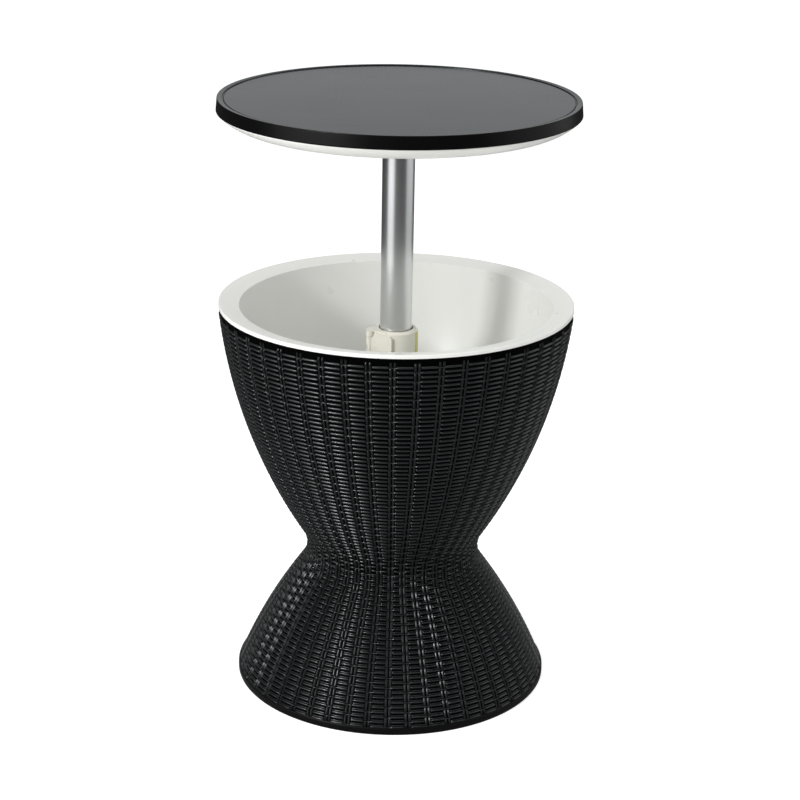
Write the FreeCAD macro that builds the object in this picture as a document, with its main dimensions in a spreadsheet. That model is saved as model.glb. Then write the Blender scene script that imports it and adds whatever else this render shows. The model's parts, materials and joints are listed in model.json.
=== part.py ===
import FreeCAD, Part
import os
import Sketcher
from FreeCAD import Vector

# Cooler table with a lid that rises on a pole.
# Millimetres, +Z up, +X to the right, front towards -Y, origin on the floor under the pole.
# It is modelled with the lid raised and the lever closed.

DRIVING = {
    # lower bell
    "foot_radius": 221, "foot_band": 10, "foot_ring": 12, "foot_step": 2.7,
    "base_mid_radius": 179.2, "base_mid_height": 90, "ledge_width": 21, "ledge_height": 7.5,
    "ledge_thickness": 4,
    # waist, where the two shells are bolted together
    "waist_radius": 121, "waist_curve": 54.3, "waist_half": 25, "waist_height": 195,
    "flange_width": 24, "flange_thickness": 4, "waist_bolts": 6,
    # upper goblet
    "bowl_mid_radius": 200.5, "bowl_mid_height": 365, "shell_height": 552.4, "shell_wall": 3,
    "rim_radius": 246, "rim_overhang": 1.3,
    # bowl that holds the ice
    "lip_height": 5, "lip_bevel": 1, "rim_width": 28.5, "bowl_drop": 5.4, "liner_wall": 3,
    "bowl_floor": 262, "floor_radius": 118, "floor_corner": 22, "bowl_gap": 24.5,
    "liner_mid_height": 370, "skirt_gap": 2, "skirt_wall": 2.6, "skirt_depth": 12,
    "floor_hole_gap": 0.5,
    # guide tube and centre column
    "tube_fit": 3.1, "tube_wall": 2.3, "tube_foot": 9, "tube_gap": 0.4, "tube_top_gap": 0.3,
    "key_width": 6, "key_depth": 1.2, "column_wall": 2.7, "column_top": 470,
    "column_flange_radius": 46, "column_flange": 4, "column_tail": 20, "column_fillet": 4.5,
    "seal_thickness": 1.5,
    "seal_inset": 2, "nut_height": 10, "nut_rim": 11, "nut_gap": 0.3, "nut_notches": 8,
    "nut_notch_radius": 3,
    # locking collar and lever
    "collar_fit": 1.8, "collar_wall": 6.2, "collar_height": 48, "collar_chamfer": 3,
    "spigot_length": 10, "spigot_gap": 0.2, "slit_width": 3, "slit_foot": 4,
    "hinge_reach": 25.1, "knuckle_radius": 4.8, "cap_thickness": 7.7, "lug_back": 8,
    "lug_thickness": 8, "ear_root": 2, "ear_margin": 4.5, "ear_gap": 0.3, "back_ear": 6.5,
    "back_ear_height": 22, "pin_radius": 1.5, "pin_inset": 1, "pin_fit": 0.05,
    "bolt_radius": 2, "bolt_eye_height": 5, "eye_radius": 3.2, "bolt_height": 25, "bolt_gap": 0.1,
    "fork_gap": 0.4,
    "clamp_nut_radius": 4.6, "clamp_nut_height": 4.5, "bolt_tail": 1.5,
    "lever_length": 34.2, "lever_thickness": 4.2, "lever_back": 1.15, "lever_turn": 24.4,
    "lever_clear": 0.4, "lever_corner": 5, "lever_gap": 0.5, "lever_swing": 110, "crest_drop": 2.4,
    "crest_reach": 9, "crest_fall": 2.4, "groove_width": 1.4,
    "groove_depth": 0.7, "groove_pitch": 8, "groove_start": 7, "groove_end": 6, "groove_fall": 4.4,
    "strip_width": 12, "strip_height": 33, "strip_depth": 1.2, "strip_proud": 0.1, "strip_turn": 13.5,
    "strip_drop": 4, "collar_screw_radius": 1.6, "collar_screw_head": 3.2,
    "collar_screw_head_height": 2, "collar_screw_inset": 0.6,
    # pole and the glide at its foot
    "pole_radius": 22.2, "pole_wall": 1.6, "pole_foot": 345, "plug_fit": 0.1,
    "plug_length": 27, "plug_flange": 3, "neck_radius": 15, "glide_height": 11.4,
    "glide_gap": 0.3, "glide_fit": 0.05, "washer_radius": 20, "washer_thickness": 2,
    "end_screw_radius": 3, "end_screw_head": 5.5, "end_screw_head_height": 4, "end_screw_length": 22,
    # lid
    "table_overhang": 1.5, "table_height": 840.5, "band_height": 16.7, "band_wall": 3,
    "table_bevel": 2.3, "lip_width": 9, "lip_rise": 1.5, "lip_slope": 1.5, "skin_wall": 4,
    "lid_gap": 0.3, "lid_wall": 3, "lid_overlap": 5, "lid_edge": 2.5, "lid_depth": 18,
    "lid_shoulder": 27.2, "lid_bulge": 11.8, "lid_bulge_drop": 11.4,
    "recess_margin": 27, "recess_inner": 64, "recess_slope": 6, "recess_rise": 5,
    "boss_radius": 6, "boss_circle": 125, "boss_count": 8, "hub_circle": 40, "hub_count": 4,
    # socket under the lid
    "socket_fit": 0.2, "socket_wall": 4, "socket_drop": 30, "socket_flange": 52,
    "socket_flange_thickness": 4, "socket_head": 12.5, "socket_gap": 1.3, "socket_rib": 3,
    "socket_hole_gap": 0.3, "insert_radius": 9, "stud_radius": 5, "stud_fit": 0.03,
    "stud_depth": 18,
    # allowances shared by several pieces
    "overcut": 1, "flange_bevel": 1, "bore_relief": 0.1, "stud_bevel": 1,
    # small fasteners
    "screw_radius": 2.1, "screw_gap": 0.1, "screw_head": 4.2, "screw_head_height": 2.6,
    "screw_bite": 9, "hole_gap": 0.4, "hex_nut_radius": 4.2, "hex_nut_height": 3,
    "drive_radius": 1.6, "drive_depth": 1.2,
    # base plate
    "plate_thickness": 3.5, "plate_gap": 0.4, "cup_wall": 4, "cup_height": 34, "cup_gap": 0.3,
    "rib_height": 22, "rib_tip": 2, "rib_thickness": 3, "rib_end": 190, "rib_count": 6,
    "vent_radius": 9, "vent_circle": 120, "vent_count": 12, "base_screws": 8,
    # drain in the floor of the bowl
    "drain_circle": 78, "drain_bore": 8, "drain_wall": 3, "drain_flange": 17,
    "drain_flange_height": 3, "drain_tail": 14, "drain_nut_radius": 17, "drain_nut_height": 7,
    "drain_fit": 0.05,
    "plug_depth": 16, "plug_head": 12, "plug_head_height": 3, "plug_rest": 0.1, "tab_width": 14,
    "tab_height": 16, "tab_thickness": 3, "tab_hole": 4,
}

DERIVED = {
    "lip_top": "size.shell_height + size.lip_height",
    "opening_height": "lip_top - size.bowl_drop",
    "shell_top_radius": "size.rim_radius - size.rim_overhang",
    "opening_radius": "size.rim_radius - size.rim_width",
    "liner_mid_radius": "size.bowl_mid_radius - size.bowl_gap",
    "base_radius": "size.foot_radius - size.foot_step",
    "waist_flare": "size.waist_radius + size.waist_curve"
                   " - sqrt(size.waist_curve^2 - size.waist_half^2)",
    "waist_bend": "size.waist_radius + size.waist_curve"
                  " - sqrt(size.waist_curve^2 - size.waist_half^2 / 4)",
    "waist_low": "size.waist_height - size.waist_half",
    "waist_high": "size.waist_height + size.waist_half",
    "flange_radius": "size.waist_radius - size.flange_width",
    "waist_bolt_circle": "size.waist_radius - size.shell_wall - size.flange_width / 2",
    "ledge_radius": "base_radius - size.ledge_width",
    "ledge_top": "size.ledge_height + size.ledge_thickness",
    "plate_radius": "size.foot_radius - size.foot_ring - size.plate_gap",
    "plate_under": "size.ledge_height - size.plate_thickness",
    "base_screw_circle": "(plate_radius + ledge_radius) / 2",
    "skirt_radius": "shell_top_radius - size.shell_wall - size.skirt_gap",
    "floor_under": "size.bowl_floor - size.liner_wall",
    "collar_bore": "size.pole_radius + size.collar_fit",
    "collar_radius": "collar_bore + size.collar_wall",
    "tube_bore": "size.pole_radius + size.tube_fit",
    "tube_radius": "tube_bore + size.tube_wall",
    "tube_top": "size.column_top - size.spigot_length - size.tube_top_gap",
    "column_bore": "tube_radius + size.tube_gap",
    "column_radius": "column_bore + size.column_wall",
    "column_foot": "floor_under - size.column_tail",
    "floor_hole": "column_radius + size.floor_hole_gap",
    "seal_top": "size.bowl_floor + size.seal_thickness",
    "column_flange_top": "seal_top + size.column_flange",
    "collar_top": "size.column_top + size.collar_height",
    "cap_under": "collar_top - size.cap_thickness",
    "lug_top": "size.column_top + size.lug_thickness",
    "lever_reach": "collar_radius + size.lever_clear + size.lever_back",
    "hinge_left": "lever_reach * sin(size.lever_turn * 1 deg)"
                  " + size.hinge_reach * cos(size.lever_turn * 1 deg)",
    "hinge_front": "lever_reach * cos(size.lever_turn * 1 deg)"
                   " - size.hinge_reach * sin(size.lever_turn * 1 deg)",
    "shoulder_back": "size.lever_back + size.lever_clear",
    "shoulder_start": "sqrt(size.knuckle_radius^2 - shoulder_back^2)",
    "ear_front": "hinge_front - size.knuckle_radius - size.ear_gap",
    "ear_inner": "collar_bore + size.ear_root",
    "ear_outer": "hinge_left + size.ear_margin",
    "slit_half": "size.slit_width / 2",
    "ear_back": "slit_half + size.back_ear",
    "bolt_level": "size.column_top + size.bolt_height",
    "pin_foot": "size.column_top + size.pin_inset",
    "pin_length": "size.collar_height - 2 * size.pin_inset",
    "bolt_end": "ear_back + size.clamp_nut_height + size.bolt_tail",
    "strip_foot": "collar_top - size.strip_drop - size.strip_height",
    "collar_screw_level": "size.column_top - size.spigot_length / 2",
    "lever_foot": "lug_top + size.lever_gap",
    "lever_height": "cap_under - size.lever_gap - lever_foot",
    "lever_crest": "collar_top - size.crest_drop",
    "fork_radius": "size.eye_radius + size.fork_gap",
    "fork_height": "size.bolt_eye_height + 2 * size.fork_gap",
    "pole_bore": "size.pole_radius - size.pole_wall",
    "end_flange": "size.pole_foot - size.plug_flange",
    "glide_top": "end_flange - size.glide_gap",
    "glide_foot": "glide_top - size.glide_height",
    "neck_foot": "glide_foot - size.glide_gap",
    "glide_radius": "tube_bore - size.glide_gap",
    "table_radius": "size.rim_radius + size.table_overhang",
    "table_under": "size.table_height - size.band_height",
    "recess_level": "size.table_height - size.lip_rise",
    "skin_under": "recess_level - size.skin_wall",
    "lid_radius": "table_radius - size.band_wall - size.lid_gap",
    "lid_corner_radius": "lid_radius - size.lid_shoulder",
    "lid_bulge_radius": "lid_radius - size.lid_bulge",
    "recess_radius": "lid_corner_radius - size.recess_margin",
    "lid_top": "table_under + size.lid_overlap",
    "lid_flat": "table_under - size.lid_depth",
    "lid_inside": "lid_flat + size.lid_wall",
    "recess_under": "lid_flat + size.recess_rise",
    "recess_inside": "recess_under + size.lid_wall",
    "socket_bore": "size.pole_radius + size.socket_fit",
    "socket_radius": "socket_bore + size.socket_wall",
    "socket_hole": "socket_radius + size.socket_hole_gap",
    "socket_top": "skin_under - size.socket_gap",
    "socket_ceiling": "socket_top - size.socket_head",
    "plug_cap": "socket_ceiling - size.socket_fit",
    "pole_top": "plug_cap - size.plug_flange",
    "socket_foot": "lid_flat - size.socket_drop",
    "socket_seat": "lid_flat - size.socket_flange_thickness",
    "insert_foot": "socket_ceiling + size.socket_fit",
    "stud_foot": "pole_top - size.stud_depth",
    "drain_top": "seal_top + size.drain_flange_height",
    "drain_radius": "size.drain_bore + size.drain_wall",
    "drain_foot": "floor_under - size.drain_tail",
    "plug_seat": "drain_top + size.plug_rest",
    "screw_hole": "size.screw_radius + size.screw_gap",
    "screw_clear": "size.screw_radius + size.hole_gap",
}

# Shares that shape small roundings and slopes.
ARC_OUT = 0.7071  # how far a quarter arc's middle lies from its centre, each way, in radii
ARC_IN = 0.2929  # and how far it lies inside the square corner
HEAD_FLAT = 0.7  # the flat part of a screw's head
FLOOR_BEND_OUT = 0.72  # the middle and the end of the rounding between the bowl's floor and wall
FLOOR_BEND_UP = 0.2
FLOOR_BEND_END = 0.16
INSIDE_BEND = 0.7  # what a wall's inner side keeps of its thickness at such a bend
INSIDE_SLOPE = 0.45  # how far a step in a dished wall moves on its inner side
LEDGE_ROOT = 1.4  # where the sloping bell meets its ledge, in walls

doc = FreeCAD.newDocument("cooler_table")


def write_sheet(name, cells, prefix):
    """A sheet with one named cell on each row."""
    sheet = doc.addObject("Spreadsheet::Sheet", name)
    for row, (alias, content) in enumerate(cells.items(), start=1):
        sheet.set(f"A{row}", alias)
        sheet.set(f"B{row}", f"{prefix}{content}")
        sheet.setAlias(f"B{row}", alias)
    doc.recompute()
    return sheet


size = write_sheet("size", DRIVING, "")
place = write_sheet("place", DERIVED, "=")


def value(expression):
    """What an expression on the two sheets comes to."""
    return float(place.evalExpression(expression))


def new_body(label):
    body = doc.addObject("PartDesign::Body", label)
    body.Label = label
    return body


def origin_part(body, role):
    for feature in body.Origin.OriginFeatures:
        if feature.Role == role:
            return feature
    raise ValueError(role)


def new_sketch(body, plane="XZ_Plane", offset="0"):
    """A sketch on one of the body's own planes, moved along the plane's normal."""
    sketch = body.newObject("Sketcher::SketchObject", "Sketch")
    sketch.AttachmentSupport = [(origin_part(body, plane), "")]
    sketch.MapMode = "FlatFace"
    sketch.setExpression("AttachmentOffset.Base.z", offset)
    return sketch


def pin_point(sketch, geometry, end, x, y):
    """Hold one point of a sketch at two expressions."""
    index = sketch.ConstraintCount
    for kind, expression, axis in (("DistanceX", x, -2), ("DistanceY", y, -1)):
        if expression == "0":
            sketch.addConstraint(Sketcher.Constraint("PointOnObject", geometry, end, axis))
        else:
            number = value(expression)
            sketch.addConstraint(Sketcher.Constraint(kind, -1, 1, geometry, end, number))
            sketch.setExpression(f"Constraints[{index}]", expression)
        index += 1


def draw(sketch, corners):
    """A closed outline. A corner of four expressions starts an arc through its second pair."""
    points = [Vector(value(c[0]), value(c[1]), 0) for c in corners]
    starts = []
    for index, corner in enumerate(corners):
        start = points[index]
        end = points[(index + 1) % len(points)]
        if len(corner) == 2:
            edge = sketch.addGeometry(Part.LineSegment(start, end))
            starts.append((edge, 1, 2))
            continue
        middle = Vector(value(corner[2]), value(corner[3]), 0)
        edge = sketch.addGeometry(Part.Arc(start, middle, end))
        forward = sketch.getPoint(edge, 1).distanceToPoint(start) < 1e-6
        starts.append((edge, 1, 2) if forward else (edge, 2, 1))
        witness = sketch.addGeometry(Part.Point(middle), True)
        sketch.addConstraint(Sketcher.Constraint("PointOnObject", witness, 1, edge))
        pin_point(sketch, witness, 1, corner[2], corner[3])
    for index, (edge, first, last) in enumerate(starts):
        following, head, _ = starts[(index + 1) % len(starts)]
        sketch.addConstraint(Sketcher.Constraint("Coincident", edge, last, following, head))
        pin_point(sketch, edge, first, corners[index][0], corners[index][1])
    return sketch


def draw_circle(sketch, x, y, radius):
    circle = sketch.addGeometry(Part.Circle(Vector(value(x), value(y), 0), Vector(0, 0, 1), value(radius)))
    pin_point(sketch, circle, 3, x, y)
    index = sketch.addConstraint(Sketcher.Constraint("Radius", circle, value(radius)))
    sketch.setExpression(f"Constraints[{index}]", radius)
    return sketch


def turned(x, y, turn):
    """A point turned clockwise about the origin, seen from above, by an angle in degrees."""
    return (f"({x}) * cos(({turn}) * 1 deg) + ({y}) * sin(({turn}) * 1 deg)",
            f"({y}) * cos(({turn}) * 1 deg) - ({x}) * sin(({turn}) * 1 deg)")


def draw_box(sketch, left, low, right, high):
    return draw(sketch, [(left, low), (right, low), (right, high), (left, high)])


def draw_hexagon(sketch, x, y, radius):
    corners = []
    for step in range(6):
        angle = 60 * step
        corners.append((f"{x} + ({radius}) * cos({angle} deg)", f"{y} + ({radius}) * sin({angle} deg)"))
    return draw(sketch, corners)


def check_change(feature, before, grows):
    """Stop if a feature points away from its solid and changes nothing."""
    after = feature.Shape.Volume
    changed = after > before if grows else after < before
    if not changed:
        raise ValueError(f"{feature.Name} changes nothing: {before} to {after}")


def finish_feature(body, feature, before, grows):
    doc.recompute()
    check_change(feature, before, grows)
    return feature


def volume_of(body):
    return body.Shape.Volume if body.Tip else 0


def revolve(body, corners, plane="XZ_Plane", offset="0"):
    """Turn an outline of radius and height about its upright axis."""
    sketch = draw(new_sketch(body, plane, offset), corners)
    feature = body.newObject("PartDesign::Revolution", "Turned")
    feature.Profile = sketch
    feature.ReferenceAxis = (sketch, ["V_Axis"])
    feature.Angle = 360
    return finish_feature(body, feature, 0, True)


def revolve_about(body, x, corners):
    """Turn an outline about the upright line at x."""
    sketch = draw(new_sketch(body), corners)
    low, high = value(corners[0][1]), value(corners[-1][1])
    axis = sketch.addGeometry(Part.LineSegment(Vector(value(x), low, 0), Vector(value(x), high, 0)), True)
    pin_point(sketch, axis, 1, x, corners[0][1])
    pin_point(sketch, axis, 2, x, corners[-1][1])
    feature = body.newObject("PartDesign::Revolution", "Turned")
    feature.Profile = sketch
    feature.ReferenceAxis = (sketch, ["Axis0"])
    feature.Angle = 360
    return finish_feature(body, feature, 0, True)


def pad(body, sketch, length):
    before = volume_of(body)
    feature = body.newObject("PartDesign::Pad", "Pad")
    feature.Profile = sketch
    feature.setExpression("Length", length)
    return finish_feature(body, feature, before, True)


def pocket(body, sketch, length, upward=True, midplane=False):
    """Cut along the sketch's normal, or against it where upward is False."""
    before = volume_of(body)
    feature = body.newObject("PartDesign::Pocket", "Pocket")
    feature.Profile = sketch
    feature.Midplane = midplane
    feature.Reversed = upward
    feature.setExpression("Length", length)
    return finish_feature(body, feature, before, False)


def ring_of(body, features, count):
    """Repeat features evenly about the vertical axis."""
    before = body.Shape.Volume
    grows = features[0].TypeId != "PartDesign::Pocket"
    pattern = body.newObject("PartDesign::PolarPattern", "Ring")
    pattern.Originals = features
    pattern.Axis = (origin_part(body, "Z_Axis"), [""])
    pattern.Angle = 360
    pattern.setExpression("Occurrences", count)
    body.Tip = pattern
    return finish_feature(body, pattern, before, grows)


def hole_ring(body, circle, radius, low, depth, count, turn=0):
    """Round holes on a circle, cut upwards from the level low, the first one at the angle turn."""
    x = f"({circle}) * cos({turn} deg)"
    y = f"({circle}) * sin({turn} deg)" if turn else "0"
    sketch = draw_circle(new_sketch(body, "XY_Plane", low), x, y, radius)
    hole = pocket(body, sketch, depth)
    ring_of(body, [hole], count)


def boss_ring(body, circle, low, height, count):
    """Tubular screw bosses on a circle."""
    sketch = draw_circle(new_sketch(body, "XY_Plane", low), circle, "0", "size.boss_radius")
    draw_circle(sketch, circle, "0", "place.screw_hole")
    boss = pad(body, sketch, height)
    ring_of(body, [boss], count)


def screw_ring(label, circle, seat, length, count):
    """Pan-head screws on a circle, driven upwards, with their heads under the level seat."""
    body = new_body(label)
    body.AllowCompound = True
    head = f"{seat} - size.screw_head_height"
    edge = f"{circle} + size.screw_head"
    stem = f"{circle} + size.screw_radius"
    tip = f"{seat} + {length}"
    dome = f"{head} + size.screw_head_height / 3"
    corners = [(circle, head), (f"{circle} + size.screw_head * {HEAD_FLAT}", head), (edge, dome),
               (edge, seat), (stem, seat), (stem, f"{tip} - size.screw_radius"),
               (f"{circle} + size.screw_radius / 3", tip), (circle, tip)]
    screw = revolve_about(body, circle, corners)
    sketch = draw_hexagon(new_sketch(body, "XY_Plane", head), circle, "0", "size.drive_radius")
    recess = pocket(body, sketch, "size.drive_depth")
    pattern = body.newObject("PartDesign::PolarPattern", "Ring")
    pattern.Originals = [screw, recess]
    pattern.Axis = (origin_part(body, "Z_Axis"), [""])
    pattern.Angle = 360
    pattern.setExpression("Occurrences", count)
    body.Tip = pattern
    return body


def base_shell():
    """Lower bell with a smooth foot band, a ledge for the plate and a flange at the waist."""
    body = new_body("base_shell")
    wall = "size.shell_wall"
    revolve(body, [
        ("size.foot_radius", "0"),
        ("size.foot_radius", "size.foot_band"),
        ("place.base_radius", "size.foot_band", "size.base_mid_radius", "size.base_mid_height"),
        ("place.waist_flare", "place.waist_low", "place.waist_bend",
         "size.waist_height - size.waist_half / 2"),
        ("size.waist_radius", "size.waist_height"),
        ("place.flange_radius", "size.waist_height"),
        ("place.flange_radius", "size.waist_height - size.flange_thickness"),
        (f"size.waist_radius - {wall}", "size.waist_height - size.flange_thickness"),
        (f"place.waist_flare - {wall}", "place.waist_low",
         f"size.base_mid_radius - {wall}", "size.base_mid_height"),
        (f"place.base_radius - {wall} * {LEDGE_ROOT}", "place.ledge_top"),
        ("place.ledge_radius", "place.ledge_top"),
        ("place.ledge_radius", "size.ledge_height"),
        ("size.foot_radius - size.foot_ring", "size.ledge_height"),
        ("size.foot_radius - size.foot_ring", "0"),
    ])
    hole_ring(body, "place.waist_bolt_circle", "place.screw_clear",
              "size.waist_height - size.flange_thickness - size.overcut",
              "size.flange_thickness + 2 * size.overcut", "size.waist_bolts")
    hole_ring(body, "place.base_screw_circle", "place.screw_hole", "size.ledge_height - size.overcut",
              "size.ledge_thickness + 2 * size.overcut", "size.base_screws")


def upper_shell():
    """Goblet that hides the bowl, flanged at the waist."""
    body = new_body("upper_shell")
    wall = "size.shell_wall"
    revolve(body, [
        ("size.waist_radius", "size.waist_height", "place.waist_bend",
         "size.waist_height + size.waist_half / 2"),
        ("place.waist_flare", "place.waist_high", "size.bowl_mid_radius", "size.bowl_mid_height"),
        ("place.shell_top_radius", "size.shell_height"),
        (f"place.shell_top_radius - {wall}", "size.shell_height",
         f"size.bowl_mid_radius - {wall}", "size.bowl_mid_height"),
        (f"place.waist_flare - {wall}", "place.waist_high"),
        (f"size.waist_radius - {wall}", "size.waist_height + size.flange_thickness"),
        ("place.flange_radius", "size.waist_height + size.flange_thickness"),
        ("place.flange_radius", "size.waist_height"),
    ])
    hole_ring(body, "place.waist_bolt_circle", "place.screw_clear", "size.waist_height - size.overcut",
              "size.flange_thickness + 2 * size.overcut", "size.waist_bolts")


def waist_nuts():
    body = new_body("waist_nuts")
    body.AllowCompound = True
    level = "size.waist_height + size.flange_thickness"
    sketch = draw_hexagon(new_sketch(body, "XY_Plane", level), "place.waist_bolt_circle", "0",
                          "size.hex_nut_radius")
    draw_circle(sketch, "place.waist_bolt_circle", "0", "place.screw_hole")
    nut = pad(body, sketch, "size.hex_nut_height")
    ring_of(body, [nut], "size.waist_bolts")


def base_plate():
    """Plate that closes the bell, with vents, ribs and the cup that holds the guide tube's foot."""
    body = new_body("base_plate")
    cup_bore = "place.tube_radius + size.cup_gap"
    cup_radius = f"{cup_bore} + size.cup_wall"
    cup_middle = f"{cup_bore} + size.cup_wall / 2"
    cup_top = "size.ledge_height + size.cup_height"
    revolve(body, [
        ("0", "place.plate_under"),
        ("place.plate_radius", "place.plate_under"),
        ("place.plate_radius", "size.ledge_height"),
        (cup_radius, "size.ledge_height"),
        (cup_radius, cup_top),
        (cup_bore, cup_top),
        (cup_bore, "size.tube_foot"),
        ("0", "size.tube_foot"),
    ])
    rib_root = "size.ledge_height - size.plate_thickness / 2"
    sketch = draw(new_sketch(body, "XZ_Plane", "-size.rib_thickness / 2"), [
        (cup_middle, rib_root),
        ("size.rib_end", rib_root),
        ("size.rib_end", "size.ledge_height + size.rib_tip"),
        (cup_middle, "size.ledge_height + size.rib_height"),
    ])
    rib = pad(body, sketch, "size.rib_thickness")
    ring_of(body, [rib], "size.rib_count")
    through = "size.plate_thickness + 2 * size.overcut"
    hole_ring(body, "size.vent_circle", "size.vent_radius", "place.plate_under - size.overcut",
              through, "size.vent_count", turn=15)
    hole_ring(body, "place.base_screw_circle", "place.screw_clear", "place.plate_under - size.overcut",
              through, "size.base_screws")


def cooler_liner():
    """White bowl with a sloping rim, a lip over the shell and a locating skirt behind it."""
    body = new_body("cooler_liner")
    wall = "size.liner_wall"
    inner_corner = "size.floor_radius - size.floor_corner"
    corner_x = f"{inner_corner} + size.floor_corner * {FLOOR_BEND_OUT}"
    corner_z = f"size.bowl_floor + size.floor_corner * {FLOOR_BEND_UP}"
    wall_foot = f"size.bowl_floor + size.floor_corner * {FLOOR_BEND_OUT}"
    wall_foot_radius = f"size.floor_radius + size.floor_corner * {FLOOR_BEND_END}"
    skirt_foot = "size.shell_height - size.skirt_depth"
    revolve(body, [
        ("place.floor_hole", "size.bowl_floor"),
        (inner_corner, "size.bowl_floor", corner_x, corner_z),
        (wall_foot_radius, wall_foot, "place.liner_mid_radius", "size.liner_mid_height"),
        ("place.opening_radius", "place.opening_height"),
        ("size.rim_radius - size.lip_bevel", "place.lip_top"),
        ("size.rim_radius", "place.lip_top - size.lip_bevel"),
        ("size.rim_radius", "size.shell_height"),
        ("place.skirt_radius", "size.shell_height"),
        ("place.skirt_radius", skirt_foot),
        ("place.skirt_radius - size.skirt_wall", skirt_foot),
        ("place.skirt_radius - size.skirt_wall", f"place.lip_top - size.lip_bevel - {wall}"),
        (f"place.opening_radius + {wall}", f"place.opening_height - {wall} * {INSIDE_BEND}",
         f"place.liner_mid_radius + {wall}", "size.liner_mid_height"),
        (f"{wall_foot_radius} + {wall}", wall_foot,
         f"{corner_x} + {wall} * {INSIDE_BEND}", f"{corner_z} - {wall} * {INSIDE_BEND}"),
        (inner_corner, "place.floor_under"),
        ("place.floor_hole", "place.floor_under"),
    ])
    sketch = draw_circle(new_sketch(body, "XY_Plane", "place.floor_under - size.overcut"), "0",
                         "size.drain_circle", "place.drain_radius + size.floor_hole_gap")
    pocket(body, sketch, f"{wall} + 2 * size.overcut")


def centre_column():
    """White sleeve that stands in the bowl and keeps the water away from the guide tube."""
    body = new_body("centre_column")
    revolve(body, [
        ("place.column_bore", "place.column_foot"),
        ("place.column_radius", "place.column_foot"),
        ("place.column_radius", "place.seal_top"),
        ("size.column_flange_radius", "place.seal_top"),
        ("size.column_flange_radius", "place.column_flange_top - size.flange_bevel"),
        ("size.column_flange_radius - size.flange_bevel", "place.column_flange_top"),
        ("place.column_radius + size.column_fillet", "place.column_flange_top"),
        ("place.column_radius", "place.column_flange_top + 2 * size.column_fillet"),
        ("place.column_radius", "size.column_top"),
        ("place.column_bore", "size.column_top"),
    ])
    screw_holes = draw_circle(new_sketch(body, "XZ_Plane"), "0", "place.collar_screw_level",
                              "size.collar_screw_radius + size.screw_gap")
    pocket(body, screw_holes, "4 * place.column_radius", midplane=True)


def ring_part(label, bore, radius, low, high):
    """A plain ring, such as a seal or a washer."""
    body = new_body(label)
    revolve(body, [(bore, low), (radius, low), (radius, high), (bore, high)])
    return body


def column_nut():
    """Ring nut under the bowl's floor, notched for a spanner."""
    bore = "place.column_radius + size.nut_gap"
    radius = f"{bore} + size.nut_rim"
    foot = "place.floor_under - size.nut_height"
    body = ring_part("column_nut", bore, radius, foot, "place.floor_under")
    hole_ring(body, radius, "size.nut_notch_radius", f"{foot} - size.overcut",
              "size.nut_height / 2 + size.overcut", "size.nut_notches")


def guide_tube():
    """Tube that the pole drops into, with two keyways for the glide."""
    body = ring_part("guide_tube", "place.tube_bore", "place.tube_radius", "size.tube_foot",
                     "place.tube_top")
    sketch = draw_box(new_sketch(body, "XY_Plane", "size.tube_foot - size.overcut"),
                      "place.tube_bore - size.key_depth", "-size.key_width / 2",
                      "place.tube_bore + size.key_depth", "size.key_width / 2")
    keyway = pocket(body, sketch, "place.tube_top - size.tube_foot + 2 * size.overcut")
    ring_of(body, [keyway], "2")


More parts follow.
